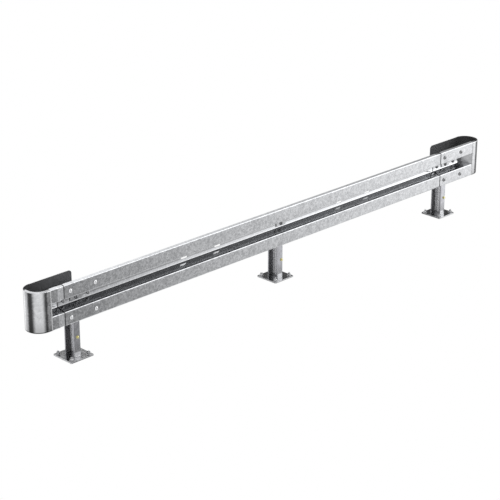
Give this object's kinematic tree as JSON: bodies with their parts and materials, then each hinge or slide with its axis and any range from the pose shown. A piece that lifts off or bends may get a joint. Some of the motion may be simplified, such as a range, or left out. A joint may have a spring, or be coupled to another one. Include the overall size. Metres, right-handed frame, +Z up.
{
  "type": "highway guardrail section",
  "caption": "Corrugated steel highway guardrail on posts with base plates, with lapped beams and a rounded nose turned back behind each end.",
  "frame": {"origin": "middle of the underside of the middle base plate", "axes": "+X along the rail, -Y is the traffic side, +Z up"},
  "size_m": [4.798, 0.233, 0.611],
  "materials": {
    "beam_zinc": "galvanised, fine spangle",
    "nose_zinc": "galvanised, smooth and slightly glossy",
    "post_zinc": "galvanised, glossy",
    "plate_zinc": "galvanised, glossy",
    "bolt_zinc": "galvanised bolts and nuts",
    "bolt_yellow": "yellow passivated bolts"
  },
  "bodies": {
    "root": {"main_beam": "beam_zinc", "left_end_beam": "beam_zinc", "right_end_beam": "beam_zinc", "left_nose": "nose_zinc", "right_nose": "nose_zinc", "left_valley_closure": "nose_zinc", "right_valley_closure": "nose_zinc", "left_cover_plate": "plate_zinc", "middle_cover_plate": "plate_zinc", "right_cover_plate": "plate_zinc", "left_post": "post_zinc", "middle_post": "post_zinc", "right_post": "post_zinc", "left_base_plate": "plate_zinc", "middle_base_plate": "plate_zinc", "right_base_plate": "plate_zinc"}
  },
  "joints": []
}
